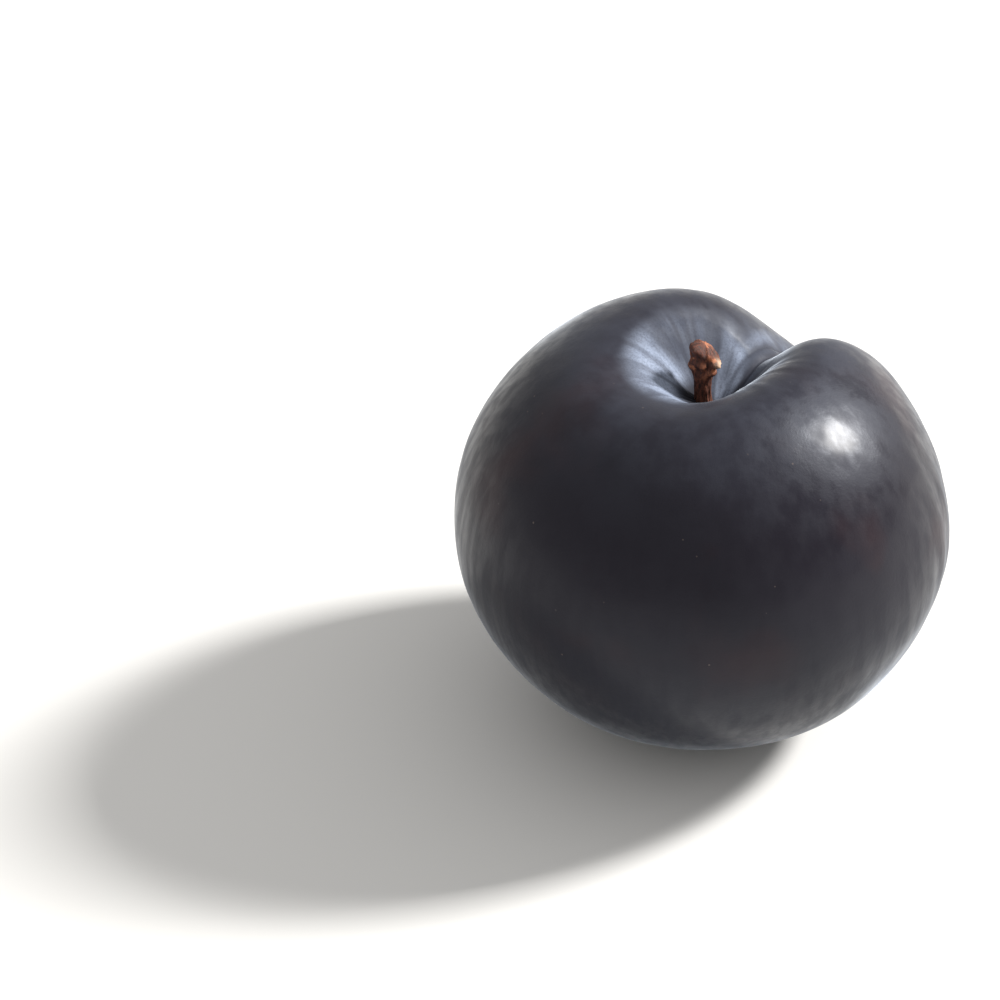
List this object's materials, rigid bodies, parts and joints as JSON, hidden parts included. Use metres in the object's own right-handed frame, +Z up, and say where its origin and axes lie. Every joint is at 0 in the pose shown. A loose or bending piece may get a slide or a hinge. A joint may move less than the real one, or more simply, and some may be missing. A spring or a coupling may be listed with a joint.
{
  "type": "plum",
  "caption": "Whole dark plum with a short woody stalk in its stem cavity and a suture down one side; stands on a small flat spot.",
  "frame": {"origin": "middle of the small flat spot at the blossom end that the fruit rests on", "axes": "+Z up along the stalk; the suture is on the +X +Y side, 50 degrees from +X; -Y is the side seen in the picture"},
  "size_m": [0.0652, 0.0652, 0.0562],
  "materials": {
    "skin": "dark purple-black fruit skin, satin, with a thin blue-white waxy bloom that is thickest in the stem cavity",
    "stalk": "dry, matt, fibrous reddish-brown stalk with a pale broken scar on its head"
  },
  "bodies": {
    "root": {"fruit": "skin", "stem": "stalk"}
  },
  "joints": []
}
